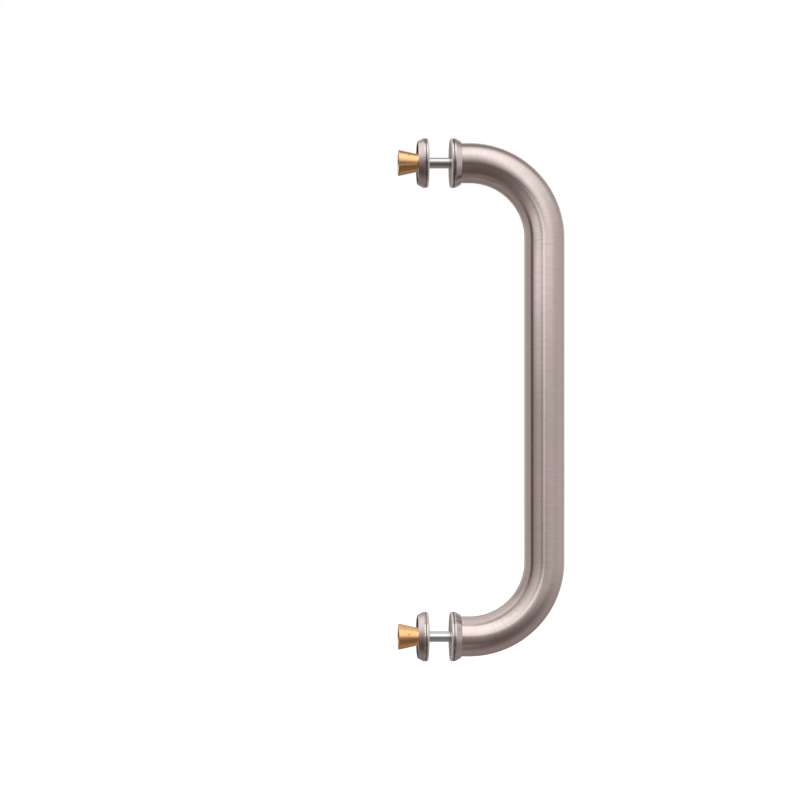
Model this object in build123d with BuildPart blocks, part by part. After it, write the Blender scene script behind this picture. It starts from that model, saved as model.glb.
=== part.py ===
# D-shaped tubular door pull handle with its through-bolt fixings.
#
# Frame, in millimetres: the origin lies on the door's face, midway between the two bolts.
# +X points out of the door towards the grip, and +Z runs up along the grip.
# The near roses seat on the door at x = 0, and the far roses on its other face.
import os

from build123d import *

# Bent tube
hole_centres = 300.0  # between the two bolts
tube_d = 25.4
tube_wall = 1.2
arm_straight = 12.5  # from the door's face to the start of the bend
bend_radius = 47.5  # at the tube's centreline
tube_end_round = 0.3

# Door
door_thickness = 14.0  # space between the near and the far roses

# Rose: a rim, a fine crease, a narrow land and a cone that falls to the mouth of a cup
rose_height = 6.8
rim_height = 1.7
rim_round = 0.35
crease_width = 0.5
crease_depth = 0.4
land_width = 0.9
rose_flare = 2.0  # radial, from the cup's mouth out to the rim
mouth_wall = 0.85  # round the cup's mouth
mouth_round = 0.25
rose_web = 1.5  # floor of the cup
cup_clearance = 0.15  # radial, round the tube

# Bolt
thread_d = 8.0
thread_length = 18.0
thread_rise = 0.6  # radial, from the plain shank to the thread's crest
bolt_length = 50.0  # from under the head to the tip
head_bearing = 1.05  # radial width of the head's seat round the bolt's hole
head_height = 1.2
head_round = 0.3
socket_width = 4.0  # across flats
socket_depth = 3.0
tip_chamfer = 0.8
bolt_hole_clearance = 0.65  # radial, over the thread, through the roses and cones
thread_clearance = 0.05  # radial, in the insert

# Insert in the tube's end
insert_setback = 0.5  # from its inner end to the start of the bend
insert_clearance = 0.05  # radial, in the tube
insert_chamfer = 0.5

# Brass cone
neck_wall = 1.1
neck_length = 5.5
taper_length = 11.9
wide_end_wall = 2.35  # round the head's pocket
wide_end_round = 0.3
head_recess = 0.3  # from the wide end down to the head's top
head_clearance = 0.3  # radial, round the head
punch_mark_d = 1.2
punch_mark_depth = 0.6
punch_mark_from_end = 6.6  # from the wide end, along the axis
upper_punch_turn = 47.0  # degrees up from -Y
lower_punch_turn = 14.0

# Radii that follow from the sizes above
tube_r = tube_d / 2
tube_bore_r = tube_r - tube_wall
insert_r = tube_bore_r - insert_clearance
cup_r = tube_r + cup_clearance
mouth_r = cup_r + mouth_wall
rim_r = mouth_r + rose_flare
thread_r = thread_d / 2
shank_r = thread_r - thread_rise
tapped_r = thread_r + thread_clearance
bolt_hole_r = thread_r + bolt_hole_clearance
head_r = bolt_hole_r + head_bearing
neck_r = bolt_hole_r + neck_wall
pocket_r = head_r + head_clearance
wide_end_r = pocket_r + wide_end_wall

# Places along the bolts, from the grip's axis to the cones' wide ends
grip_x = arm_straight + bend_radius
insert_end_x = arm_straight - insert_setback
tube_seat_x = rose_web
far_face_x = -door_thickness
cone_seat_x = far_face_x - rose_web
taper_x = cone_seat_x - neck_length
wide_end_x = taper_x - taper_length
head_top_x = wide_end_x + head_recess
head_seat_x = head_top_x + head_height
bolt_tip_x = head_seat_x + bolt_length
thread_start_x = bolt_tip_x - thread_length

# Each end of the handle: its name, the height of its bolt and the turn of its cone's punch mark
upper_z = hole_centres / 2
lower_z = -hole_centres / 2
ends = [("upper", upper_z, upper_punch_turn), ("lower", lower_z, lower_punch_turn)]

os.makedirs("parts", exist_ok=True)


def turning_plane(z):
    """Plane of a turned profile: local x along the bolt's axis, local y the radius."""
    return Plane(origin=(0, 0, z), x_dir=(1, 0, 0), z_dir=(0, -1, 0))


def cross_plane(x, z, facing=1):
    """Plane across a bolt's axis, facing along +X or -X."""
    return Plane(origin=(x, 0, z), z_dir=(facing, 0, 0))


def bolt_axis(z):
    """Axis of the bolt at one end of the handle."""
    return Axis((0, 0, z), (1, 0, 0))


def rings(piece, x, radius, near=1e-4):
    """Round edges of one radius at one place along a bolt's axis."""
    round_edges = piece.edges().filter_by(GeomType.CIRCLE)
    return round_edges.filter_by(lambda e: abs(e.arc_center.X - x) < near and abs(e.radius - radius) < near)


# Handle tube: arm, bend, grip, bend and arm in one piece
with BuildPart() as handle_tube:
    with BuildLine(Plane.XZ):
        FilletPolyline(
            (tube_seat_x, lower_z),
            (grip_x, lower_z),
            (grip_x, upper_z),
            (tube_seat_x, upper_z),
            radius=bend_radius,
        )
    with BuildSketch(cross_plane(tube_seat_x, lower_z)):
        Circle(tube_r)
        Circle(tube_bore_r, mode=Mode.SUBTRACT)
    sweep()
    fillet(rings(handle_tube, tube_seat_x, tube_r), tube_end_round)
handle_tube.part.label = "handle_tube"
export_step(handle_tube.part, "parts/handle_tube.step")

for end, end_z, punch_turn in ends:

    # Insert: tapped plug, flush with the tube's end
    with BuildPart() as insert:
        with BuildSketch(cross_plane(tube_seat_x, end_z)):
            Circle(insert_r)
            Circle(tapped_r, mode=Mode.SUBTRACT)
        extrude(amount=insert_end_x - tube_seat_x)
        chamfer(rings(insert, insert_end_x, insert_r), insert_chamfer)
    insert.part.label = f"{end}_insert"
    export_step(insert.part, f"parts/{end}_insert.step")

    # Roses: the near one's cup opens towards the grip, the far one's away from it
    for side, face_x, out in [("near", 0.0, 1), ("far", far_face_x, -1)]:
        with BuildPart() as rose:
            mouth_x = face_x + out * rose_height
            web_x = face_x + out * rose_web
            rim_x = face_x + out * rim_height
            crease_x = rim_x + out * crease_width / 2
            land_x = rim_x + out * crease_width
            flare_x = land_x + out * land_width
            with BuildSketch(turning_plane(end_z)):
                with BuildLine():
                    Polyline(
                        (face_x, bolt_hole_r),
                        (face_x, rim_r),
                        (rim_x, rim_r),
                        (crease_x, rim_r - crease_depth),
                        (land_x, rim_r),
                        (flare_x, rim_r),
                        (mouth_x, mouth_r),
                        (mouth_x, cup_r),
                        (web_x, cup_r),
                        (web_x, bolt_hole_r),
                        close=True,
                    )
                make_face()
            revolve(axis=bolt_axis(end_z))
            fillet(rings(rose, face_x, rim_r), rim_round)
            fillet(rings(rose, mouth_x, mouth_r), mouth_round)
        rose.part.label = f"{end}_{side}_rose"
        export_step(rose.part, f"parts/{end}_{side}_rose.step")

    # Brass cone: its neck bears on the far rose, and its wide end holds the bolt's head
    with BuildPart() as cone:
        with BuildSketch(turning_plane(end_z)):
            with BuildLine():
                Polyline(
                    (cone_seat_x, bolt_hole_r),
                    (cone_seat_x, neck_r),
                    (taper_x, neck_r),
                    (wide_end_x, wide_end_r),
                    (wide_end_x, pocket_r),
                    (head_seat_x, pocket_r),
                    (head_seat_x, bolt_hole_r),
                    close=True,
                )
            make_face()
        revolve(axis=bolt_axis(end_z))
        fillet(rings(cone, wide_end_x, wide_end_r), wide_end_round)
        # Small punch mark, square to the taper's surface
        taper_rise = (wide_end_r - neck_r) / taper_length
        mark_r = wide_end_r - taper_rise * punch_mark_from_end
        mark_side = Vector(0, -1, 0).rotate(Axis.X, -punch_turn)
        mark_plane = Plane(
            origin=Vector(wide_end_x + punch_mark_from_end, 0, end_z) + mark_side * mark_r,
            z_dir=Vector(taper_rise, 0, 0) + mark_side,
        )
        with Locations(mark_plane):
            Hole(punch_mark_d / 2, depth=punch_mark_depth)
    cone.part.label = f"{end}_cone"
    export_step(cone.part, f"parts/{end}_cone.step")

    # Through bolt: thin flat head with a hex socket, plain shank, and a thread left plain at its crest
    with BuildPart() as bolt:
        with BuildSketch(turning_plane(end_z)):
            with BuildLine():
                Polyline(
                    (head_top_x, 0),
                    (head_top_x, head_r),
                    (head_seat_x, head_r),
                    (head_seat_x, shank_r),
                    (thread_start_x, shank_r),
                    (thread_start_x + thread_rise, thread_r),
                    (bolt_tip_x, thread_r),
                    (bolt_tip_x, 0),
                    close=True,
                )
            make_face()
        revolve(axis=bolt_axis(end_z))
        fillet(rings(bolt, head_top_x, head_r), head_round)
        chamfer(rings(bolt, bolt_tip_x, thread_r), tip_chamfer)
        with BuildSketch(cross_plane(head_top_x, end_z, facing=-1)):
            RegularPolygon(socket_width / 2, side_count=6, major_radius=False)
        extrude(amount=-socket_depth, mode=Mode.SUBTRACT)
    bolt.part.label = f"{end}_bolt"
    export_step(bolt.part, f"parts/{end}_bolt.step")
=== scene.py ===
import math

import bmesh
import bpy
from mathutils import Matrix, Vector


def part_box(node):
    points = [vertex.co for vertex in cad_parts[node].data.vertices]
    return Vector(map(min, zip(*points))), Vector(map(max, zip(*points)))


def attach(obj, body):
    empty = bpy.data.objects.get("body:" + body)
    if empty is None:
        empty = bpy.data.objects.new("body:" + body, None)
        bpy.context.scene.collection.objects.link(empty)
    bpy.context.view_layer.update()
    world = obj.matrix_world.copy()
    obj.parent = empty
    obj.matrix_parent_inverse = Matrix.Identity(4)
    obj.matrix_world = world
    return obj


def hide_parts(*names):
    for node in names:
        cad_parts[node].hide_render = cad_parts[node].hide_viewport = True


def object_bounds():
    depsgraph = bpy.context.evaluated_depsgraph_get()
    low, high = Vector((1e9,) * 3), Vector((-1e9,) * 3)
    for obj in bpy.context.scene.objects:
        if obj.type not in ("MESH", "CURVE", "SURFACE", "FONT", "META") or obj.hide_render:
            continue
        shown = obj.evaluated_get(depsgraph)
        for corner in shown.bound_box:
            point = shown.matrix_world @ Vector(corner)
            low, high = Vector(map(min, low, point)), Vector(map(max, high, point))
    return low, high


# Tubular door pull on its two bolt fixings: finishes, stage and camera.
# Lengths are in metres unless a note says otherwise.
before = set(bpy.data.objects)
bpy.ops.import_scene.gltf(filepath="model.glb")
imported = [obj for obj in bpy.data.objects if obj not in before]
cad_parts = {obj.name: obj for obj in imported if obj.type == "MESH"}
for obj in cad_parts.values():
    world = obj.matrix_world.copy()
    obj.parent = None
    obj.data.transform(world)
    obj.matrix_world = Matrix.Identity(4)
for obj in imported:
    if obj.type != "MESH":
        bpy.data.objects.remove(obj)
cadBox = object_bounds()
mm = 0.001
tiny = 0.01 * mm  # two places this close are the same ring
print("frame loaded:", len(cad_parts), "nodes")

# Places read from the frame
boltZ = sum(corner.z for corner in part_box("upper_near_rose")) / 2
endZ = {"upper": boltZ, "lower": -boltZ}


def nodeSpan(node):
    # a turned node's two ends along its bolt
    low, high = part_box(node)
    return low.x, high.x


def clearSelection():
    if bpy.context.object and bpy.context.object.mode != "OBJECT":
        bpy.ops.object.mode_set(mode="OBJECT")
    bpy.ops.object.select_all(action="DESELECT")


def settle(name):
    # the primitive just added keeps its place in its mesh
    piece = bpy.context.object
    piece.name = name
    piece.data.name = name
    bpy.ops.object.transform_apply(location=True, rotation=True, scale=True)
    return piece


def pick(piece):
    clearSelection()
    piece.select_set(True)
    bpy.context.view_layer.objects.active = piece


def applyModifier(piece, kind, **settings):
    pick(piece)
    modifier = piece.modifiers.new(kind.lower(), kind)
    for key, value in settings.items():
        setattr(modifier, key, value)
    bpy.ops.object.modifier_apply(modifier=modifier.name)


def selectEdges(piece, wanted):
    bpy.ops.mesh.select_mode(type="EDGE")
    bpy.ops.mesh.select_all(action="DESELECT")
    mesh = bmesh.from_edit_mesh(piece.data)
    for edge in mesh.edges:
        edge.select_set(wanted(edge.verts[0].co) and wanted(edge.verts[1].co))
    bmesh.update_edit_mesh(piece.data)


def turnPiece(name, axisZ, profile, sides, filled=False):
    # like lathe work: one ring, then each step of the profile is an extrude and a resize
    clearSelection()
    x, radius = profile[0]
    bpy.ops.mesh.primitive_circle_add(
        vertices=sides,
        radius=radius,
        fill_type="NGON" if filled else "NOTHING",
        location=(x, 0, axisZ),
        rotation=(0, math.pi / 2, 0),
    )
    piece = settle(name)
    bpy.ops.object.mode_set(mode="EDIT")
    bpy.ops.mesh.select_all(action="SELECT")
    for nextX, nextRadius in profile[1:]:
        grow = nextRadius / radius
        bpy.ops.mesh.extrude_edges_move(TRANSFORM_OT_translate={"value": (nextX - x, 0, 0)})
        bpy.ops.transform.resize(value=(1, grow, grow), center_override=(nextX, 0, axisZ))
        x, radius = nextX, nextRadius
    if filled:
        bpy.ops.mesh.edge_face_add()  # the far end
    bpy.ops.mesh.select_all(action="SELECT")
    bpy.ops.mesh.remove_doubles(threshold=tiny)
    bpy.ops.mesh.normals_make_consistent(inside=False)
    return piece


roundSteps = {"broad": 6, "plain": 4, "end": 3, "fine": 2}  # faces across a rounded edge


def roundRing(piece, axisZ, x, radius, width, steps):
    def onRing(place):
        return abs(place.x - x) < tiny and abs(math.hypot(place.y, place.z - axisZ) - radius) < tiny

    selectEdges(piece, onRing)
    bpy.ops.mesh.bevel(offset=width, segments=roundSteps[steps], profile=0.5, affect="EDGES")


def cutWith(piece, cutter):
    applyModifier(piece, "BOOLEAN", operation="DIFFERENCE", solver="EXACT", object=cutter)
    bpy.data.objects.remove(cutter)


def smoothTurned(piece, sharpAngle=32):
    pick(piece)
    bpy.ops.object.shade_smooth_by_angle(angle=math.radians(sharpAngle))
    applyModifier(piece, "WEIGHTED_NORMAL", keep_sharp=True)


def copyTo(piece, name, shiftZ):
    pick(piece)
    bpy.ops.object.duplicate(linked=False)
    bpy.ops.transform.translate(value=(0, 0, shiftZ))
    return settle(name)


def mount(piece, node, slot, *materials):
    for material in materials:
        piece.data.materials.append(material)
    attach(piece, "root")
    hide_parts(node)


# Shader helpers
def addNode(tree, kind, **settings):
    node = tree.nodes.new(kind)
    for key, value in settings.items():
        setattr(node, key, value)
    return node


def feed(tree, socket, source):
    # a number or colour is set on the socket, another socket is linked to it
    if isinstance(source, bpy.types.NodeSocket):
        tree.links.new(source, socket)
    else:
        socket.default_value = source


def maths(tree, operation, first, second=0.0):
    node = addNode(tree, "ShaderNodeMath", operation=operation)
    feed(tree, node.inputs[0], first)
    feed(tree, node.inputs[1], second)
    return node.outputs[0]


def remap(tree, value, low, high, toLow, toHigh, style="SMOOTHSTEP"):
    node = addNode(tree, "ShaderNodeMapRange", interpolation_type=style)
    for slot, source in enumerate((value, low, high, toLow, toHigh)):
        feed(tree, node.inputs[slot], source)
    return node.outputs[0]


def mixColour(tree, share, first, second):
    # inputs 6 and 7 and output 2 are the node's colours
    node = addNode(tree, "ShaderNodeMix", data_type="RGBA")
    feed(tree, node.inputs["Factor"], share)
    feed(tree, node.inputs[6], first)
    feed(tree, node.inputs[7], second)
    return node.outputs[2]


def splitPlace(tree, place):
    node = addNode(tree, "ShaderNodeSeparateXYZ")
    feed(tree, node.inputs[0], place)
    return node.outputs


def joinPlace(tree, *parts):
    node = addNode(tree, "ShaderNodeCombineXYZ")
    for socket, part in zip(node.inputs, parts):
        feed(tree, socket, part)
    return node.outputs[0]


def noiseAt(tree, place, scale, detail):
    node = addNode(tree, "ShaderNodeTexNoise")
    feed(tree, node.inputs["Vector"], place)
    feed(tree, node.inputs["Scale"], scale)
    feed(tree, node.inputs["Detail"], detail)
    return node.outputs["Fac"]


def newGroup(name, inputs, outputs):
    group = bpy.data.node_groups.new(name, "ShaderNodeTree")
    for label, kind in inputs:
        group.interface.new_socket(label, in_out="INPUT", socket_type=kind)
    for label, kind in outputs:
        group.interface.new_socket(label, in_out="OUTPUT", socket_type=kind)
    return group, addNode(group, "NodeGroupInput"), addNode(group, "NodeGroupOutput")


def useGroup(tree, group, **values):
    node = addNode(tree, "ShaderNodeGroup", node_tree=group)
    for label, source in values.items():
        feed(tree, node.inputs[label], source)
    return node


def newMaterial(name):
    material = bpy.data.materials.new(name)
    material.use_nodes = True
    tree = material.node_tree
    return material, tree, tree.nodes["Principled BSDF"]


# Brush and tool lines that run round a piece. Place is (distance along, cos, sin) of the turn.
brushing = {
    "fineDetail": 3.0,
    "streakDetail": 1.0,
    "streakPitch": 0.35,  # share of the fine lines' pitch
    "streakReach": 1.3,  # share of the fine lines' reach
    "darkEdges": (0.56, 0.7),
    "paleEdges": (0.3, 0.44),
    "darkTone": 0.7,  # share of the metal's own tone
    "paleTone": 1.3,
    "roughEdges": (0.3, 0.7),
    "bumpHeight": 0.05 * mm,
    "ringShift": 0.73,  # distance along that a step outwards counts for, so that flat faces have rings
}


def buildBrushLines():
    group, given, result = newGroup(
        "brushLines",
        [("Place", "NodeSocketVector"), ("Pitch", "NodeSocketFloat"), ("Reach", "NodeSocketFloat")],
        [("Fine", "NodeSocketFloat"), ("Dark", "NodeSocketFloat"), ("Pale", "NodeSocketFloat")],
    )
    along, across, rise = splitPlace(group, given.outputs["Place"])

    def lines(pitchShare, reachShare, detail):
        pitch = maths(group, "MULTIPLY", given.outputs["Pitch"], pitchShare)
        reach = maths(group, "MULTIPLY", given.outputs["Reach"], reachShare)
        place = joinPlace(
            group,
            maths(group, "MULTIPLY", along, pitch),
            maths(group, "MULTIPLY", across, reach),
            maths(group, "MULTIPLY", rise, reach),
        )
        return noiseAt(group, place, 1.0, detail)

    streaks = lines(brushing["streakPitch"], brushing["streakReach"], brushing["streakDetail"])
    feed(group, result.inputs["Fine"], lines(1.0, 1.0, brushing["fineDetail"]))
    feed(group, result.inputs["Dark"], remap(group, streaks, *brushing["darkEdges"], 0.0, 1.0))
    feed(group, result.inputs["Pale"], remap(group, streaks, *brushing["paleEdges"], 1.0, 0.0))
    return group


# Slow drift between two tones of one metal
drifting = {
    "detail": 2.0,
    "edges": (0.35, 0.65),
}


def buildToneDrift():
    group, given, result = newGroup(
        "toneDrift",
        [
            ("Vector", "NodeSocketVector"),
            ("Scale", "NodeSocketFloat"),
            ("First", "NodeSocketColor"),
            ("Second", "NodeSocketColor"),
        ],
        [("Color", "NodeSocketColor")],
    )
    noise = noiseAt(group, given.outputs["Vector"], given.outputs["Scale"], drifting["detail"])
    share = remap(group, noise, *drifting["edges"], 0.0, 1.0)
    tone = mixColour(group, share, given.outputs["First"], given.outputs["Second"])
    feed(group, result.inputs["Color"], tone)
    return group


brushLines = buildBrushLines()
toneDrift = buildToneDrift()

finishes = {
    "satinTube": {
        "tones": [(0.63, 0.492, 0.468, 1), (0.61, 0.488, 0.455, 1)],
        "driftScale": 22,
        "pitch": 2400,
        "reach": 1.1,
        "roughness": (0.19, 0.24),
        "streaks": 0.15,
        "lineDepth": 0.03,
        "anisotropy": 0.5,
    },
    "satinRose": {
        "tones": [(0.62, 0.5, 0.475, 1), (0.58, 0.475, 0.45, 1)],
        "driftScale": 60,
        "pitch": 3200,
        "reach": 1.3,
        "roughness": (0.16, 0.21),
        "streaks": 0.2,
        "lineDepth": 0.04,
    },
    "turnedBrass": {
        "tones": [(0.86, 0.475, 0.225, 1), (0.82, 0.44, 0.19, 1)],
        "driftScale": 90,
        "pitch": 3600,
        "reach": 0.8,
        "roughness": (0.12, 0.17),
        "streaks": 0.3,
        "lineDepth": 0.05,
    },
    "zincBolt": {
        "tones": [(0.655, 0.62, 0.605, 1), (0.6, 0.567, 0.552, 1)],
        "driftScale": 120,
        "pitch": 2600,
        "reach": 1.5,
        "roughness": (0.1, 0.15),
        "streaks": 0.2,
        "lineDepth": 0.03,
    },
    # the round rim: rougher and less metallic than the rose, and its lighter tone is a painted highlight
    # where the rim catches light
    "softRimAndHighlight": {
        "metal": 0.5,
        "tones": [(0.68, 0.595, 0.575, 1), (0.64, 0.56, 0.54, 1)],
        "driftScale": 60,
        "pitch": 3200,
        "reach": 1.3,
        "roughness": (0.5, 0.6),
        "streaks": 0.2,
        "lineDepth": 0.04,
    },
    "rawCup": {
        "metal": 0.5,
        "tones": [(0.56, 0.49, 0.46, 1), (0.5, 0.44, 0.415, 1)],
        "driftScale": 150,
        "pitch": 2600,
        "reach": 1.5,
        "roughness": (0.5, 0.65),
        "streaks": 0.3,
        "lineDepth": 0.05,
    },
    # painted shade: a near-black copy of the cup's finish for the rose's crease and the first millimetre
    # inside its mouth
    "paintedShadeGroove": {
        "tones": [(0.07, 0.062, 0.058, 1), (0.1, 0.09, 0.083, 1)],
        "driftScale": 150,
        "pitch": 2600,
        "reach": 1.5,
        "roughness": (0.55, 0.65),
        "streaks": 0.3,
        "lineDepth": 0.05,
    },
}


def turnedPlace(tree, objectPlace):
    # both bolts lie at the same distance from the middle, so one formula serves both ends
    along, across, height = splitPlace(tree, objectPlace)
    rise = maths(tree, "SUBTRACT", maths(tree, "ABSOLUTE", height), boltZ)
    squares = [maths(tree, "MULTIPLY", part, part) for part in (across, rise)]
    radius = maths(tree, "MAXIMUM", maths(tree, "SQRT", maths(tree, "ADD", *squares)), tiny)
    return joinPlace(
        tree,
        maths(tree, "ADD", along, maths(tree, "MULTIPLY", radius, brushing["ringShift"])),
        maths(tree, "DIVIDE", across, radius),
        maths(tree, "DIVIDE", rise, radius),
    )


def tubePlace(tree):
    # the tube's own map: u runs along it in metres, v once round it
    mapNode = addNode(tree, "ShaderNodeUVMap", uv_map="alongTube")
    along, share, _ = splitPlace(tree, mapNode.outputs[0])
    turn = maths(tree, "MULTIPLY", share, 2 * math.pi)
    return joinPlace(tree, along, maths(tree, "COSINE", turn), maths(tree, "SINE", turn))


def brushedMetal(name, along=False):
    look = finishes[name]
    first, second = look["tones"]
    material, tree, shader = newMaterial(name)
    objectPlace = addNode(tree, "ShaderNodeTexCoord").outputs["Object"]
    place = tubePlace(tree) if along else turnedPlace(tree, objectPlace)
    lines = useGroup(tree, brushLines, Place=place, Pitch=look["pitch"], Reach=look["reach"])
    tone = useGroup(
        tree,
        toneDrift,
        Vector=objectPlace,
        Scale=look["driftScale"],
        First=first,
        Second=second,
    )
    fine, dark, pale = lines.outputs
    colour = tone.outputs[0]
    for mask, share in ((dark, brushing["darkTone"]), (pale, brushing["paleTone"])):
        streakTone = [min(part * share, 1.0) for part in first]
        colour = mixColour(tree, maths(tree, "MULTIPLY", mask, look["streaks"]), colour, streakTone)
    feed(tree, shader.inputs["Base Color"], colour)
    feed(tree, shader.inputs["Roughness"], remap(tree, fine, *brushing["roughEdges"], *look["roughness"]))
    bump = addNode(tree, "ShaderNodeBump")
    feed(tree, bump.inputs["Strength"], look["lineDepth"])
    feed(tree, bump.inputs["Distance"], brushing["bumpHeight"])
    feed(tree, bump.inputs["Height"], maths(tree, "SUBTRACT", fine, dark))
    feed(tree, shader.inputs["Normal"], bump.outputs[0])
    shader.inputs["Metallic"].default_value = look.get("metal", 1.0)
    if along:
        # brushing runs round the tube, so highlights draw out along it
        shader.inputs["Anisotropic"].default_value = look["anisotropy"]
        tangent = addNode(tree, "ShaderNodeTangent", direction_type="UV_MAP", uv_map="alongTube")
        feed(tree, shader.inputs["Tangent"], tangent.outputs[0])
    return material


satinTube = brushedMetal("satinTube", along=True)
satinRose = brushedMetal("satinRose")
turnedBrass = brushedMetal("turnedBrass")
zincBolt = brushedMetal("zincBolt")
softRimAndHighlight = brushedMetal("softRimAndHighlight")
rawCup = brushedMetal("rawCup")
paintedShadeGroove = brushedMetal("paintedShadeGroove")
print("finishes ready")

# Bent tube: arm, bend, grip, bend and arm
tubeShape = {
    "radius": 12.7 * mm,
    "wall": 1.2 * mm,
    "armStraight": 12.5 * mm,  # from the door's face to the bend
    "bendRadius": 47.5 * mm,
    "sides": 96,
    "armSteps": 4,
    "bendSteps": 44,
    "gripSteps": 60,
    "endRound": 0.3 * mm,
    "sharpAngle": 40,
}
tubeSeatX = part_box("handle_tube")[0].x
gripX = tubeShape["armStraight"] + tubeShape["bendRadius"]


def writeTubeMap(piece, armX, bendZ):
    # u: metres along the centreline, v: turn from the outer side of the bends
    bend = tubeShape["bendRadius"]
    armLength = armX - tubeSeatX
    bendLength = bend * math.pi / 2
    gripLength = 2 * bendZ

    def spot(place):
        mirrored = place.z > 0
        z = -abs(place.z)
        if z > -bendZ:
            half = armLength + bendLength + bendZ + z
            out = place.x - gripX
        elif place.x < armX:
            half = place.x - tubeSeatX
            out = -boltZ - z
        else:
            right, down = place.x - armX, -bendZ - z
            half = armLength + bend * math.atan2(right, down)
            out = math.hypot(right, down) - bend
        total = 2 * (armLength + bendLength) + gripLength
        return (total - half if mirrored else half), math.atan2(place.y, out) / (2 * math.pi)

    spots = [spot(vertex.co) for vertex in piece.data.vertices]
    uvMap = piece.data.uv_layers.new(name="alongTube")
    for face in piece.data.polygons:
        turns = [spots[index][1] for index in face.vertices]
        wraps = max(turns) - min(turns) > 0.5
        for loop, index, turn in zip(face.loop_indices, face.vertices, turns):
            uvMap.data[loop].uv = (spots[index][0], turn + 1 if wraps and turn < 0 else turn)


def makeTube():
    armX = tubeShape["armStraight"]
    bendZ = boltZ - tubeShape["bendRadius"]
    clearSelection()
    bpy.ops.mesh.primitive_circle_add(
        vertices=tubeShape["sides"],
        radius=tubeShape["radius"],
        location=(tubeSeatX, 0, -boltZ),
        rotation=(0, math.pi / 2, 0),
    )
    piece = settle("satin_tube")
    bpy.ops.object.mode_set(mode="EDIT")
    bpy.ops.mesh.select_all(action="SELECT")

    def draw(length, steps, direction):
        for _ in range(steps):
            step = Vector(direction) * (length / steps)
            bpy.ops.mesh.extrude_edges_move(TRANSFORM_OT_translate={"value": step})

    def turn(centreZ):
        bpy.ops.mesh.spin(
            steps=tubeShape["bendSteps"],
            angle=math.pi / 2,
            center=(armX, 0, centreZ),
            axis=(0, 1, 0),
        )

    draw(armX - tubeSeatX, tubeShape["armSteps"], (1, 0, 0))
    turn(-bendZ)
    draw(2 * bendZ, tubeShape["gripSteps"], (0, 0, 1))
    turn(bendZ)
    draw(armX - tubeSeatX, tubeShape["armSteps"], (-1, 0, 0))
    bpy.ops.mesh.select_all(action="SELECT")
    bpy.ops.mesh.remove_doubles(threshold=tiny)
    bpy.ops.mesh.normals_make_consistent(inside=False)
    bpy.ops.object.mode_set(mode="OBJECT")
    applyModifier(piece, "SOLIDIFY", thickness=tubeShape["wall"], offset=-1, use_even_offset=True)
    bpy.ops.object.mode_set(mode="EDIT")
    for axisZ in endZ.values():
        roundRing(piece, axisZ, tubeSeatX, tubeShape["radius"], tubeShape["endRound"], "end")
    bpy.ops.object.mode_set(mode="OBJECT")
    bpy.ops.object.shade_smooth_by_angle(angle=math.radians(tubeShape["sharpAngle"]))
    writeTubeMap(piece, armX, bendZ)
    return piece


mount(makeTube(), "handle_tube", "satin_steel", satinTube)
print("tube bent")

# Roses: rim, fine crease, narrow land, cone and cup
roseShape = {
    "sides": 144,
    "rimRadius": 15.7 * mm,
    "rimHeight": 1.7 * mm,
    "rimRound": 0.9 * mm,
    "creaseWidth": 0.5 * mm,
    "creaseDepth": 0.4 * mm,
    "creaseRound": 0.08 * mm,
    "landWidth": 0.9 * mm,
    "landRound": 0.12 * mm,
    "mouthRadius": 13.7 * mm,
    "mouthRound": 0.25 * mm,
    "cupRadius": 12.85 * mm,
    "lipDepth": 1.0 * mm,
    "web": 1.5 * mm,
    "boltHole": 4.65 * mm,
    "holeRound": 0.15 * mm,
}


def makeRose(name, node, out, axisZ):
    shape = roseShape
    low, high = nodeSpan(node)
    rim = shape["rimRadius"]
    face, mouth = (low, high) if out > 0 else (high, low)
    rimX = face + out * shape["rimHeight"]
    landX = rimX + out * shape["creaseWidth"]
    flareX = landX + out * shape["landWidth"]
    web = face + out * shape["web"]
    hole = shape["boltHole"]
    profile = [
        (face, hole),
        (face, rim),
        (rimX, rim),
        ((rimX + landX) / 2, rim - shape["creaseDepth"]),
        (landX, rim),
        (flareX, rim),
        (mouth, shape["mouthRadius"]),
        (mouth, shape["cupRadius"]),
        (mouth - out * shape["lipDepth"], shape["cupRadius"]),
        (web, shape["cupRadius"]),
        (web, hole),
        (face, hole),
    ]
    piece = turnPiece(name, axisZ, profile, shape["sides"])
    roundRing(piece, axisZ, face, rim, shape["rimRound"], "broad")
    roundRing(piece, axisZ, rimX, rim, shape["creaseRound"], "fine")
    roundRing(piece, axisZ, landX, rim, shape["creaseRound"], "fine")
    roundRing(piece, axisZ, flareX, rim, shape["landRound"], "fine")
    roundRing(piece, axisZ, mouth, shape["mouthRadius"], shape["mouthRound"], "plain")
    roundRing(piece, axisZ, face, hole, shape["holeRound"], "fine")
    bpy.ops.object.mode_set(mode="OBJECT")
    smoothTurned(piece)
    return piece


roseFinishes = [satinRose, paintedShadeGroove, rawCup, softRimAndHighlight]


def sortFaces(piece, node, out, axisZ):
    # satin outside, painted shade in the crease and behind the lip, raw in the cup, and on the round rim
    # a rougher, less metallic finish whose lighter tone is a painted highlight
    shape = roseShape
    low, high = nodeSpan(node)
    doorFace = low if out > 0 else high
    mouthHeight = high - low
    for face in piece.data.polygons:
        height = abs(face.center.x - doorFace)
        places = [piece.data.vertices[index].co for index in face.vertices]
        reach = [math.hypot(place.y, place.z - axisZ) for place in places]
        inCup = max(reach) < shape["cupRadius"] + tiny and height > tiny
        behindLip = inCup and height > mouthHeight - shape["lipDepth"]
        pastRim = height - shape["rimHeight"]
        inCrease = 0 < pastRim < shape["creaseWidth"] and min(reach) > shape["mouthRadius"]
        onRim = height < shape["rimRound"] and max(reach) > shape["rimRadius"] - shape["rimRound"] + tiny
        finish = satinRose
        # the crease and the lip get painted shade
        if inCrease or behindLip:
            finish = paintedShadeGroove
        elif inCup:
            finish = rawCup
        elif onRim:
            finish = softRimAndHighlight
        face.material_index = roseFinishes.index(finish)


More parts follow.
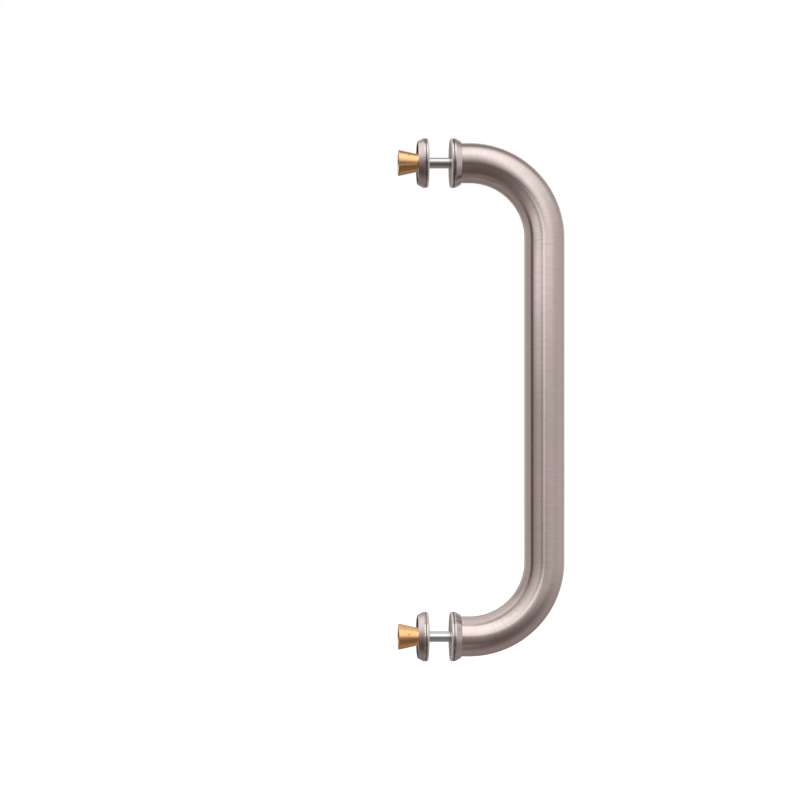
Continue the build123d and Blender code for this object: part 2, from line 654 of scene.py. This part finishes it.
for side, out in (("near", 1), ("far", -1)):
    upperRose = makeRose(f"upper_{side}_satin_rose", f"upper_{side}_rose", out, boltZ)
    sortFaces(upperRose, f"upper_{side}_rose", out, boltZ)
    lowerRose = copyTo(upperRose, f"lower_{side}_satin_rose", -2 * boltZ)
    for end, rose in (("upper", upperRose), ("lower", lowerRose)):
        mount(rose, f"{end}_{side}_rose", "satin_steel", *roseFinishes)
        rose.visible_glossy = side == "near"  # the cones mirror the studio and not the far cups
print("roses turned")

# Brass cones: neck, taper and the pocket for the bolt's head
coneShape = {
    "sides": 112,
    "wideRadius": 8.35 * mm,
    "neckRadius": 5.75 * mm,
    "neckLength": 5.5 * mm,
    "neckRound": 0.4 * mm,
    "pocketRadius": 6.0 * mm,
    "pocketDepth": 1.5 * mm,
    "pocketRound": 0.15 * mm,
    "boltHole": 4.65 * mm,
    "endRound": 0.3 * mm,
    "punchRadius": 0.6 * mm,
    "punchDepth": 0.6 * mm,
    "punchFromEnd": 6.6 * mm,
    "punchSides": 24,
    "punchTaper": (0.35, 1.65),  # shares of the radius at the tool's tip and its wide end
    "punchTurn": {"upper": 47, "lower": 14},  # degrees up from the front
}


def makeConeBody(name, node, axisZ):
    shape = coneShape
    wideX, seatX = nodeSpan(node)
    wide = shape["wideRadius"]
    taperX = seatX - shape["neckLength"]
    pocketX = wideX + shape["pocketDepth"]
    profile = [
        (seatX, shape["boltHole"]),
        (seatX, shape["neckRadius"]),
        (taperX, shape["neckRadius"]),
        (wideX, wide),
        (wideX, shape["pocketRadius"]),
        (pocketX, shape["pocketRadius"]),
        (pocketX, shape["boltHole"]),
        (seatX, shape["boltHole"]),
    ]
    piece = turnPiece(name, axisZ, profile, shape["sides"])
    roundRing(piece, axisZ, taperX, shape["neckRadius"], shape["neckRound"], "fine")
    roundRing(piece, axisZ, wideX, wide, shape["endRound"], "plain")
    roundRing(piece, axisZ, wideX, shape["pocketRadius"], shape["pocketRound"], "fine")
    bpy.ops.object.mode_set(mode="OBJECT")
    return piece


def punchCone(piece, node, axisZ, turn):
    shape = coneShape
    wideX, seatX = nodeSpan(node)
    wide = shape["wideRadius"]
    slope = (wide - shape["neckRadius"]) / (seatX - shape["neckLength"] - wideX)
    radius = wide - slope * shape["punchFromEnd"]
    angle = math.radians(turn)
    side = Vector((0, -math.cos(angle), math.sin(angle)))
    outward = (side + Vector((slope, 0, 0))).normalized()
    mark = Vector((wideX + shape["punchFromEnd"], 0, axisZ)) + side * radius
    tipShare, wideShare = shape["punchTaper"]
    clearSelection()
    bpy.ops.mesh.primitive_cone_add(
        vertices=shape["punchSides"],
        radius1=shape["punchRadius"] * tipShare,
        radius2=shape["punchRadius"] * wideShare,
        depth=2 * shape["punchDepth"],
        location=mark,
        rotation=outward.to_track_quat("Z", "Y").to_euler(),
    )
    cutWith(piece, settle("punch"))


upperCone = makeConeBody("upper_brass_cone", "upper_cone", boltZ)
brassCones = {"upper": upperCone, "lower": copyTo(upperCone, "lower_brass_cone", -2 * boltZ)}
for end, cone in brassCones.items():
    punchCone(cone, f"{end}_cone", endZ[end], coneShape["punchTurn"][end])
    smoothTurned(cone)
    mount(cone, f"{end}_cone", "brass", turnedBrass)
print("cones turned")

# Bolts: thin head with a hex socket, plain shank, rolled thread
boltShape = {
    "sides": 64,
    "headRadius": 5.7 * mm,
    "headHeight": 1.2 * mm,
    "headRound": 0.3 * mm,
    "shankRadius": 3.4 * mm,
    "threadRadius": 4.0 * mm,
    "rootRadius": 3.3 * mm,
    "threadLength": 18.0 * mm,
    "pitch": 1.25 * mm,
    "ridgeWidth": 0.92,  # share of the pitch
    "ridgeSunk": 0.12 * mm,
    "ridgeSteps": 32,
    "ridgeMerge": 0.001 * mm,
    "tipChamfer": 0.8 * mm,
    "socketWidth": 4.0 * mm,
    "socketDepth": 3.0 * mm,
}


def makeThread(startX, axisZ, turns):
    # a three-sided ridge, drawn round the shank by the Screw modifier
    shape = boltShape
    height = shape["threadRadius"] - shape["rootRadius"] + shape["ridgeSunk"]
    clearSelection()
    bpy.ops.mesh.primitive_circle_add(vertices=3, radius=1, rotation=(math.pi / 2, 0, 0))
    ridge = settle("thread")
    bpy.ops.object.mode_set(mode="EDIT")
    bpy.ops.mesh.select_all(action="SELECT")
    # the triangle starts out sqrt(3) wide and 1.5 high
    width = shape["ridgeWidth"] * shape["pitch"] / math.sqrt(3)
    bpy.ops.transform.resize(value=(width, 1, height / 1.5), center_override=(0, 0, 0))
    lift = shape["threadRadius"] - max(vertex.co.z for vertex in bmesh.from_edit_mesh(ridge.data).verts)
    bpy.ops.transform.translate(value=(0, 0, lift))
    bpy.ops.object.mode_set(mode="OBJECT")
    applyModifier(
        ridge,
        "SCREW",
        axis="X",
        angle=2 * math.pi,
        screw_offset=shape["pitch"],
        iterations=turns,
        steps=shape["ridgeSteps"],
        render_steps=shape["ridgeSteps"],
        use_merge_vertices=False,
    )
    bpy.ops.object.mode_set(mode="EDIT")
    bpy.ops.mesh.select_all(action="SELECT")
    bpy.ops.mesh.remove_doubles(threshold=shape["ridgeMerge"])
    bpy.ops.mesh.fill_holes(sides=3)
    bpy.ops.mesh.select_all(action="SELECT")
    bpy.ops.mesh.normals_make_consistent(inside=False)
    bpy.ops.transform.translate(value=(startX, 0, axisZ))
    bpy.ops.object.mode_set(mode="OBJECT")
    return ridge


def makeBolt(name, node, axisZ):
    shape = boltShape
    headX, tipX = nodeSpan(node)
    head = shape["headRadius"]
    seatX = headX + shape["headHeight"]
    threadX = tipX - shape["threadLength"]
    shank, root = shape["shankRadius"], shape["rootRadius"]
    profile = [
        (headX, head),
        (seatX, head),
        (seatX, shank),
        (threadX, shank),
        (threadX + shank - root, root),
        (tipX - shape["tipChamfer"], root),
        (tipX, root - shape["tipChamfer"]),
    ]
    piece = turnPiece(name, axisZ, profile, shape["sides"], filled=True)
    roundRing(piece, axisZ, headX, head, shape["headRound"], "plain")
    bpy.ops.object.mode_set(mode="OBJECT")
    clearSelection()
    bpy.ops.mesh.primitive_cylinder_add(
        vertices=6,
        radius=shape["socketWidth"] / math.sqrt(3),
        depth=2 * shape["socketDepth"],
        location=(headX, 0, axisZ),
        rotation=(0, math.pi / 2, 0),
    )
    cutWith(piece, settle("socket"))
    turns = int((shape["threadLength"] - 2 * shape["tipChamfer"]) / shape["pitch"])
    ridge = makeThread(threadX + shape["tipChamfer"], axisZ, turns)
    applyModifier(piece, "BOOLEAN", operation="UNION", solver="EXACT", object=ridge)
    bpy.data.objects.remove(ridge)
    smoothTurned(piece)
    return piece


upperBolt = makeBolt("upper_zinc_bolt", "upper_bolt", boltZ)
lowerBolt = copyTo(upperBolt, "lower_zinc_bolt", -2 * boltZ)
mount(upperBolt, "upper_bolt", "zinc_steel", zincBolt)
mount(lowerBolt, "lower_bolt", "zinc_steel", zincBolt)
print("bolts turned")

# The tapped inserts keep their own shape
for end in endZ:
    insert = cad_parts[f"{end}_insert"]
    insert.data.materials.clear()
    insert.data.materials.append(zincBolt)

# Camera
cameraPlace = {
    "distance": 2.5,
    "azimuth": -3.5,  # degrees, round to the bolts' side
    "elevation": 0.0,
    "frameWidth": 0.5066,  # metres across the picture, at the handle
    "aim": (-0.0318, 0.0, -0.0001),
    "sensorWidth": 36,  # millimetres
}


def makeCamera():
    place = cameraPlace
    azimuth, elevation = math.radians(place["azimuth"]), math.radians(place["elevation"])
    level = math.cos(elevation)
    back = Vector((math.sin(azimuth) * level, -math.cos(azimuth) * level, math.sin(elevation)))
    clearSelection()
    bpy.ops.object.camera_add(location=Vector(place["aim"]) + back * place["distance"])
    camera = bpy.context.object
    camera.name = "camera"
    camera.rotation_euler = (-back).to_track_quat("-Z", "Y").to_euler()
    camera.data.sensor_width = place["sensorWidth"]
    camera.data.lens = camera.data.sensor_width * place["distance"] / place["frameWidth"]
    bpy.context.scene.camera = camera


makeCamera()
print("camera placed")

# Studio: white surroundings, a pale floor, a soft lamp and a tent of pale and dark panels for the metal
studio = {
    "floorDrop": 0.12,  # below the handle's lowest point
    "floorSize": 14.0,
    "floorColour": (0.9, 0.9, 0.9, 1),
    "floorRoughness": 0.9,
    "floorGlow": 0.55,
    "skyFill": 0.55,
    "lampAhead": 0.2,
    "lampHeight": 1.6,
    "lampSize": 1.4,
    "lampPower": 16,
    "lightPeak": 2.0,  # level at the white end of every ramp
    "lightTints": [(0.17, (1, 0.91, 0.845)), (0.6, (1, 1, 1)), (1.5, (1, 1.1, 1.127))],
    "tentRadius": 5.0,
    "tentSegments": 48,
    "tentRings": 24,
    "leastShare": 0.0001,  # what a side of the tent keeps where it faces away
    "panelSides": 64,
}

# Levels of the tent's four sides, by degrees from straight in front round to straight behind.
# A lift above 1 brings a side further round, and its slack keeps it off the level ahead.
sidesBehind = [(146, 0.65), (153, 0.9), (159, 0.55), (165, 0.3), (178, 0.27)]
tentSides = {
    "right": {
        "lift": 1.0,
        "slack": 0.0,
        "levels": [(0, 1.2), (18, 1.06), (38, 1.02), (51, 0.8), (64, 0.72), (85, 0.69), (113, 0.64)]
        + [(136, 0.56), *sidesBehind],
    },
    "left": {
        "lift": 1.0,
        "slack": 0.0,
        "levels": [(0, 1.25), (5, 1.85), (9, 1.98), (15, 0.82), (21, 0.76), (26, 1.12), (31, 1.22)]
        + [(43, 1.25), (56, 1.1), (69, 0.75), (74, 0.3), (78, 0.07), (85, 0.07), (91, 0.4)]
        + [(100, 0.56), (120, 0.56), (136, 0.55), *sidesBehind],
    },
    "top": {
        "lift": 1.3,
        "slack": 0.03,
        "levels": [(0, 0.75), (3, 1.0), (6, 1.2), (17, 1.48), (29, 1.62), (66, 1.62), (86, 1.48)]
        + [(95, 1.2), (103, 0.75), (112, 0.42), (124, 0.3), (138, 0.42), (153, 0.75), (162, 0.35)]
        + [(178, 0.27)],
    },
    "below": {
        "lift": 3.2,
        "slack": 0.035,
        "levels": [(0, 0.4), (4, 0.23), (10, 0.165), (58, 0.14), (75, 0.26), (95, 0.37), (108, 0.39)]
        + [(138, 0.28), (153, 0.5), (162, 0.3), (178, 0.27)],
    },
}

# Graded cards close to the arms, in millimetres: cover by distance across, levels by height above the
# bolt, or by distance behind it on the card that leans over the lower arm and shows only its underside
cards = {
    "upper_front_card": {
        "end": "upper",
        "ahead": 130,
        "edgeBlur": 7,
        "cover": [(-330, 0), (-280, 1), (30, 1), (90, 0)],
        "levels": [(-28, 0.1), (-9, 0.1), (4, 0.17), (29, 0.4), (57, 0.68), (92, 1.0)]
        + [(139, 1.35), (212, 1.62)],
    },
    "lower_front_card": {
        "end": "lower",
        "ahead": 130,
        "edgeBlur": 4,
        "cover": [(-90, 0), (-50, 1), (25, 1), (75, 0)],
        "levels": [(-270, 0.3), (-160, 0.36), (-120, 0.3), (-103, 0.17), (-36, 0.3), (-12, 0.36)]
        + [(0, 0.4), (12, 0.46)],
    },
    "lower_over_card": {
        "end": "lower",
        "above": 74,
        "lean": 27,  # degrees down towards the grip, which then sees none of it
        "edgeBlur": 4,
        "cover": [(-45, 0), (-20, 1), (20, 1), (25, 0)],
        "levels": [(-26, 0.8), (-19, 0.84), (-14, 0.97), (-7, 1.07), (1, 0.98), (10, 0.92)]
        + [(22, 0.83), (90, 0.73)],
    },
}

# Shade round the outer fixings, open towards the handle: cover by millimetres along the bolt,
# levels by degrees up from the front
fixingShade = {
    "radius": 0.045,
    "cover": [(-110, 0), (-95, 1), (-36, 1), (-28, 0)],
    "levels": [(-130, 0.3), (-90, 0.31), (-60, 0.14), (-40, 0.12), (-15, 0.2), (2, 0.34)]
    + [(18, 0.6), (35, 0.98), (50, 1.22), (80, 1.3), (102, 1.15), (135, 0.65)],
}

# Glowing discs in place of the far roses' door faces, which the metal's reflections pass through: a
# painted reflection of those faces
doorDisc = {
    "radius": 15.6 * mm,
    "ahead": 0.05 * mm,
    "level": 0.2,
}

# Dark gauze round the front of the grip: it thins out towards the top.
# Cover by degrees round from the front, height by millimetres.
gripGauze = {
    "radius": 0.045,
    "colour": (0.1, 0.06, 0.045, 1),
    "cover": [(-75, 0), (-66, 0.5), (-58, 0.53), (-48, 0.6), (-37, 0.6), (-28, 0.52), (-17, 0.56)]
    + [(-10, 0.5), (-5, 0.2), (1, 0.36), (33, 0.33), (44, 0.18), (55, 0.15), (80, 0)],
    "height": [(-125, 0), (-105, 1), (-4, 1), (47, 0.59), (72, 0.2), (97, 0)],
}


def seenRays(tree):
    # camera, glossy and transmission rays see the plain white studio
    path = addNode(tree, "ShaderNodeLightPath")
    seen = maths(tree, "MAXIMUM", path.outputs["Is Camera Ray"], path.outputs["Is Glossy Ray"])
    return maths(tree, "MAXIMUM", seen, path.outputs["Is Transmission Ray"])


def makeWorld():
    world = bpy.data.worlds.new("studioWhite")
    bpy.context.scene.world = world
    world.use_nodes = True
    world.cycles.sampling_method = "NONE"  # the tent stands between the metal and this white
    tree = world.node_tree
    background = tree.nodes["Background"]
    background.inputs["Color"].default_value = (1, 1, 1, 1)
    strength = remap(tree, seenRays(tree), 0.0, 1.0, studio["skyFill"], 1.0, "LINEAR")
    feed(tree, background.inputs["Strength"], strength)


def makeFloor():
    material, tree, shader = newMaterial("paleFloor")
    shader.inputs["Base Color"].default_value = studio["floorColour"]
    shader.inputs["Roughness"].default_value = studio["floorRoughness"]
    shader.inputs["Emission Color"].default_value = (1, 1, 1, 1)
    glow = maths(tree, "MULTIPLY", seenRays(tree), studio["floorGlow"])
    feed(tree, shader.inputs["Emission Strength"], glow)
    clearSelection()
    height = cadBox[0].z - studio["floorDrop"]
    bpy.ops.mesh.primitive_plane_add(size=studio["floorSize"], location=(0, 0, height))
    floor = settle("floor")
    floor.data.materials.append(material)
    floor.visible_glossy = False  # the tent's own lower side stands there


def makeLamp():
    clearSelection()
    place = (0, -studio["lampAhead"], studio["lampHeight"])
    bpy.ops.object.light_add(type="AREA", location=place)
    lamp = bpy.context.object
    lamp.name = "overheadLamp"
    lamp.data.size = studio["lampSize"]
    lamp.data.energy = studio["lampPower"]
    lamp.visible_glossy = False


def tinted(level):
    # dark panels are warm, bright ones cool
    stops = studio["lightTints"]
    level = min(max(level, stops[0][0]), stops[-1][0])
    for (low, first), (high, second) in zip(stops, stops[1:]):
        if level <= high:
            share = (level - low) / (high - low)
            return [a + (b - a) * share for a, b in zip(first, second)]


def lightColour(level):
    return (*(level / studio["lightPeak"] * tint for tint in tinted(level)), 1)


def levelRamp(tree, value, low, high, stops, light=True):
    # light levels have their tint, other ramps run from 0 to 1
    ramp = addNode(tree, "ShaderNodeValToRGB")
    feed(tree, ramp.inputs[0], remap(tree, value, low, high, 0.0, 1.0, "LINEAR"))
    elements = ramp.color_ramp.elements
    elements[0].position = 0
    elements[1].position = 1
    while len(elements) < len(stops):
        elements.new(0.5)
    for element, (place, level) in zip(elements, stops):
        element.position = (place - low) / (high - low)
        element.color = lightColour(level) if light else (level, level, level, 1)
    return ramp.outputs[0]


def turnDegrees(tree, aside, y):
    # the turn from straight in front towards aside
    turn = maths(tree, "ARCTAN2", aside, maths(tree, "MULTIPLY", y, -1.0))
    return maths(tree, "MULTIPLY", turn, 180 / math.pi)


def backSide(tree):
    return addNode(tree, "ShaderNodeNewGeometry").outputs["Backfacing"]


def scaled(tree, vector, share):
    node = addNode(tree, "ShaderNodeVectorMath", operation="SCALE")
    feed(tree, node.inputs[0], vector)
    feed(tree, node.inputs["Scale"], share)
    return node.outputs[0]


def panelTree(name):
    material = bpy.data.materials.new(name)
    material.use_nodes = True
    tree = material.node_tree
    tree.nodes.clear()
    return material, tree, addNode(tree, "ShaderNodeTexCoord").outputs["Object"]


def glowPanel(tree, colour, cover=None):
    # the panel's own light, and clear where it has no cover
    glow = addNode(tree, "ShaderNodeEmission")
    feed(tree, glow.inputs["Color"], colour)
    feed(tree, glow.inputs["Strength"], studio["lightPeak"])
    surface = glow.outputs[0]
    if cover:
        mixed = addNode(tree, "ShaderNodeMixShader")
        feed(tree, mixed.inputs[0], cover)
        feed(tree, mixed.inputs[1], addNode(tree, "ShaderNodeBsdfTransparent").outputs[0])
        feed(tree, mixed.inputs[2], surface)
        surface = mixed.outputs[0]
    feed(tree, addNode(tree, "ShaderNodeOutputMaterial").inputs["Surface"], surface)


def hangPanel(panel, material):
    # only the metal's reflections show it
    panel.data.materials.append(material)
    panel.visible_camera = False
    panel.visible_diffuse = False
    panel.visible_shadow = False


def makeTent():
    material, tree, place = panelTree("tentSides")
    direction = addNode(tree, "ShaderNodeVectorMath", operation="NORMALIZE")
    feed(tree, direction.inputs[0], place)
    x, y, z = splitPlace(tree, direction.outputs[0])
    angle = maths(tree, "ARCCOSINE", maths(tree, "MULTIPLY", y, -1.0))
    degrees = maths(tree, "MULTIPLY", angle, 180 / math.pi)
    colour, spread = None, None
    for name, axis, sign in (("right", x, 1.0), ("left", x, -1.0), ("top", z, 1.0), ("below", z, -1.0)):
        side = tentSides[name]
        ahead = maths(tree, "SUBTRACT", maths(tree, "MULTIPLY", axis, sign), side["slack"])
        ahead = maths(tree, "MULTIPLY", maths(tree, "MAXIMUM", ahead, studio["leastShare"]), side["lift"])
        weight = maths(tree, "MULTIPLY", ahead, ahead)
        part = scaled(tree, levelRamp(tree, degrees, 0, 180, side["levels"]), weight)
        if colour is None:
            colour, spread = part, weight
            continue
        both = addNode(tree, "ShaderNodeVectorMath", operation="ADD")
        feed(tree, both.inputs[0], colour)
        feed(tree, both.inputs[1], part)
        colour, spread = both.outputs[0], maths(tree, "ADD", spread, weight)
    glowPanel(tree, scaled(tree, colour, maths(tree, "DIVIDE", 1.0, spread)))
    clearSelection()
    bpy.ops.mesh.primitive_uv_sphere_add(
        segments=studio["tentSegments"],
        ring_count=studio["tentRings"],
        radius=studio["tentRadius"],
    )
    tent = settle("lightTent")
    bpy.ops.object.shade_smooth()
    hangPanel(tent, material)


def makeCard(name, card):
    material, tree, place = panelTree(name)
    baseZ = endZ[card["end"]]
    x, y, z = splitPlace(tree, place)
    leans = "above" in card
    across = maths(tree, "DIVIDE", x, mm)
    rise = maths(tree, "DIVIDE", y if leans else maths(tree, "SUBTRACT", z, baseZ), mm)
    left, right = card["cover"][0][0], card["cover"][-1][0]
    bottom, top = card["levels"][0][0], card["levels"][-1][0]
    blur = card["edgeBlur"]
    cover = levelRamp(tree, across, left, right, card["cover"], light=False)
    cover = maths(tree, "MULTIPLY", cover, remap(tree, rise, bottom, bottom + blur, 0.0, 1.0))
    cover = maths(tree, "MULTIPLY", cover, remap(tree, rise, top - blur, top, 1.0, 0.0))
    if leans:
        cover = maths(tree, "MULTIPLY", cover, backSide(tree))
    glowPanel(tree, levelRamp(tree, rise, bottom, top, card["levels"]), cover)
    clearSelection()
    middleX, middle = (left + right) / 2 * mm, (bottom + top) / 2 * mm
    width = right - left
    if leans:
        lean = math.radians(card["lean"])
        width /= math.cos(lean)
        spot, turn = (middleX, middle, baseZ + card["above"] * mm), (0, lean, 0)
    else:
        spot, turn = (middleX, -card["ahead"] * mm, baseZ + middle), (math.pi / 2, 0, 0)
    bpy.ops.mesh.primitive_plane_add(size=mm, location=spot, rotation=turn)
    bpy.context.object.scale = (width, top - bottom, 1)
    hangPanel(settle(name), material)


def makeFixingShade(end):
    shade = fixingShade
    axisZ = endZ[end]
    material, tree, place = panelTree("fixingShade")
    x, y, z = splitPlace(tree, place)
    degrees = turnDegrees(tree, maths(tree, "SUBTRACT", z, axisZ), y)
    left, right = shade["cover"][0][0], shade["cover"][-1][0]
    low, high = shade["levels"][0][0], shade["levels"][-1][0]
    cover = levelRamp(tree, maths(tree, "DIVIDE", x, mm), left, right, shade["cover"], light=False)
    cover = maths(tree, "MULTIPLY", cover, backSide(tree))  # its inside
    glowPanel(tree, levelRamp(tree, degrees, low, high, shade["levels"]), cover)
    clearSelection()
    bpy.ops.mesh.primitive_cylinder_add(
        vertices=studio["panelSides"],
        radius=shade["radius"],
        depth=(right - left) * mm,
        end_fill_type="NOTHING",
        location=((left + right) / 2 * mm, 0, axisZ),
        rotation=(0, math.pi / 2, 0),
    )
    hangPanel(settle(f"{end}_fixing_shade"), material)


def makeDoorDisc(end):
    material, tree, _ = panelTree("doorDisc")
    fromNearRose = maths(tree, "SUBTRACT", 1.0, backSide(tree))
    glowPanel(tree, lightColour(doorDisc["level"]), fromNearRose)
    clearSelection()
    bpy.ops.mesh.primitive_circle_add(
        vertices=studio["panelSides"],
        radius=doorDisc["radius"],
        fill_type="NGON",
        location=(nodeSpan(f"{end}_far_rose")[1] + doorDisc["ahead"], 0, endZ[end]),
        rotation=(0, math.pi / 2, 0),
    )
    hangPanel(settle(f"{end}_door_disc"), material)


def makeGripGauze():
    gauze = gripGauze
    material, tree, place = panelTree("darkGauze")
    x, y, z = splitPlace(tree, place)
    degrees = turnDegrees(tree, maths(tree, "SUBTRACT", x, gripX), y)
    bottom, top = gauze["height"][0][0], gauze["height"][-1][0]
    cover = maths(
        tree,
        "MULTIPLY",
        levelRamp(tree, degrees, -180, 180, gauze["cover"], light=False),
        levelRamp(tree, maths(tree, "DIVIDE", z, mm), bottom, top, gauze["height"], light=False),
    )
    clear = addNode(tree, "ShaderNodeBsdfTransparent")
    feed(tree, clear.inputs["Color"], mixColour(tree, cover, (1, 1, 1, 1), gauze["colour"]))
    feed(tree, addNode(tree, "ShaderNodeOutputMaterial").inputs["Surface"], clear.outputs[0])
    clearSelection()
    bpy.ops.mesh.primitive_cylinder_add(
        vertices=studio["panelSides"],
        radius=gauze["radius"],
        depth=(top - bottom) * mm,
        end_fill_type="NOTHING",
        location=(gripX, 0, (bottom + top) / 2 * mm),
    )
    hangPanel(settle("gripGauze"), material)


makeWorld()
makeFloor()
makeLamp()
makeTent()
for name, card in cards.items():
    makeCard(name, card)
for end in endZ:
    makeFixingShade(end)
    makeDoorDisc(end)
makeGripGauze()
bpy.context.scene.view_settings.view_transform = "Standard"
print("studio lit")
